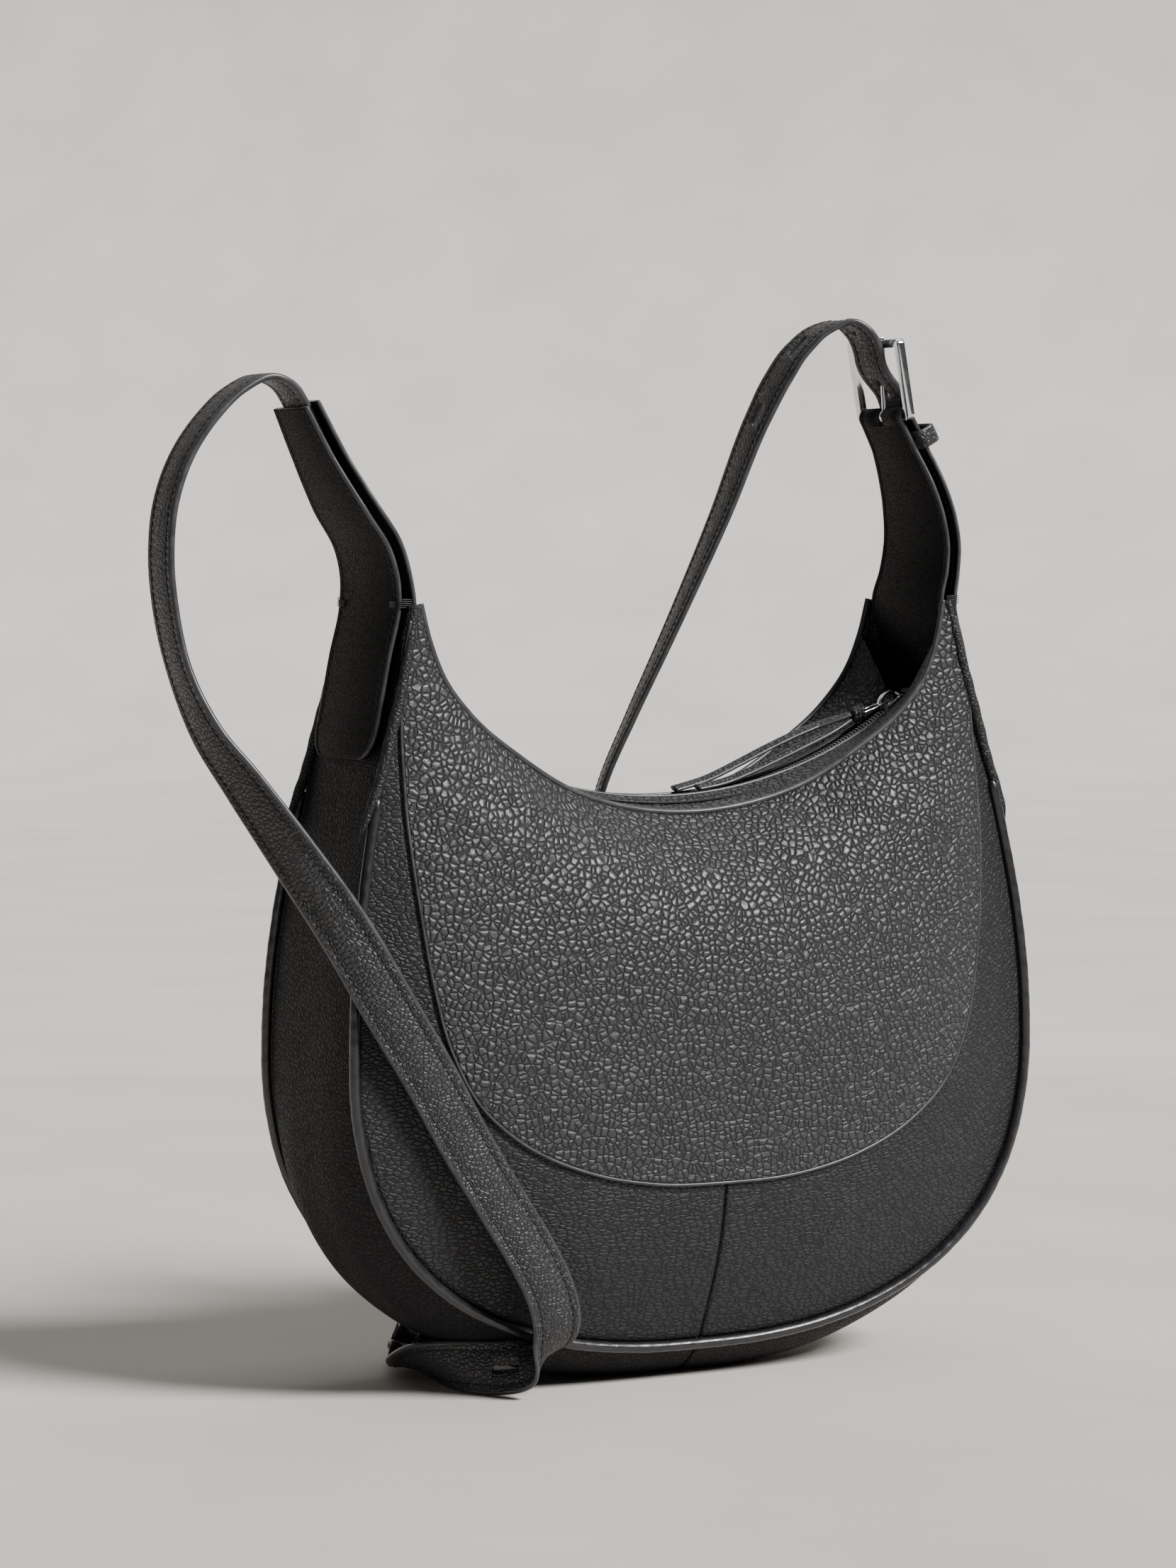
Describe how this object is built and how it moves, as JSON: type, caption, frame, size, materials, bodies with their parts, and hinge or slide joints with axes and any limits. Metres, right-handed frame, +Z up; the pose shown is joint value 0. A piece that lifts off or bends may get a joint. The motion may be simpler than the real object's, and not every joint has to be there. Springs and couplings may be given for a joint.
{
  "type": "hobo bag",
  "caption": "Slouchy leather hobo bag with a curved zip top, gusset, piped panels, shoulder tabs and a buckled shoulder strap.",
  "frame": {"origin": "middle of the pressed flat on the underside of the gusset, where the bag stands", "axes": "+Z up, +X towards the buckle end of the strap, -Y towards the front panel"},
  "size_m": [0.3851, 0.154, 0.4369],
  "materials": {
    "leather": "satin",
    "gusset_leather": "satin",
    "piping_leather": "satin",
    "strap_leather": "satin",
    "lining_fabric": "matte",
    "zip_tape": "matte",
    "metal": "polished",
    "board": "matte",
    "thread": "matte"
  },
  "bodies": {
    "bag": {"front_centre_panel": "leather", "back_centre_panel": "leather", "front_band_left": "leather", "front_band_right": "leather", "back_band_left": "leather", "back_band_right": "leather", "front_zip_facing": "leather", "back_zip_facing": "leather", "gusset_left": "gusset_leather", "gusset_right": "gusset_leather", "front_piping": "piping_leather", "back_piping": "piping_leather", "front_panel_edging": "piping_leather", "back_panel_edging": "piping_leather", "front_rim_binding": "piping_leather", "back_rim_binding": "piping_leather", "left_tab_outer": "strap_leather", "left_tab_inner": "strap_leather", "right_tab": "strap_leather", "shoulder_strap": "strap_leather", "strap_keeper": "strap_leather", "zip_top_stop": "metal", "zip_bottom_stop": "metal", "front_zip_teeth": "metal", "back_zip_teeth": "metal", "front_zip_tape": "zip_tape", "back_zip_tape": "zip_tape", "lining": "lining_fabric", "inner_pocket": "lining_fabric", "base_board": "board", "bar_tacks": "thread"},
    "slider": {"zip_slider": "metal"},
    "link": {"pull_link": "metal"},
    "tassel": {"pull_knot": "strap_leather", "pull_strand_upper": "strap_leather", "pull_strand_lower": "strap_leather"},
    "buckle": {"buckle_frame": "metal", "buckle_heel_bar": "metal"},
    "prong": {"buckle_prong": "metal"}
  },
  "joints": [
    {"name": "zip_slide", "type": "hinge", "parent": "bag", "child": "slider", "pos_m": [0, 0, 0.441], "axis": [0, 1, 0], "range_deg": [0, 70]},
    {"name": "link_swing", "type": "hinge", "parent": "slider", "child": "link", "pos_m": [0.11245, 0, 0.27412], "axis": [0, 1, 0], "range_deg": [0, 70]},
    {"name": "tassel_swing", "type": "hinge", "parent": "link", "child": "tassel", "pos_m": [0.10009, 0, 0.2701], "axis": [0, 1, 0], "range_deg": [0, 80]},
    {"name": "buckle_swing", "type": "hinge", "parent": "bag", "child": "buckle", "pos_m": [0.1135, 0, 0.396], "axis": [0, 1, 0], "range_deg": [0, 3]},
    {"name": "prong_swing", "type": "hinge", "parent": "buckle", "child": "prong", "pos_m": [0.1135, 0, 0.396], "axis": [0, 1, 0], "range_deg": [0, 2.5]}
  ],
  "couplings": [
    {"joint": "link_swing", "follows": "zip_slide", "ratio": 1}
  ]
}
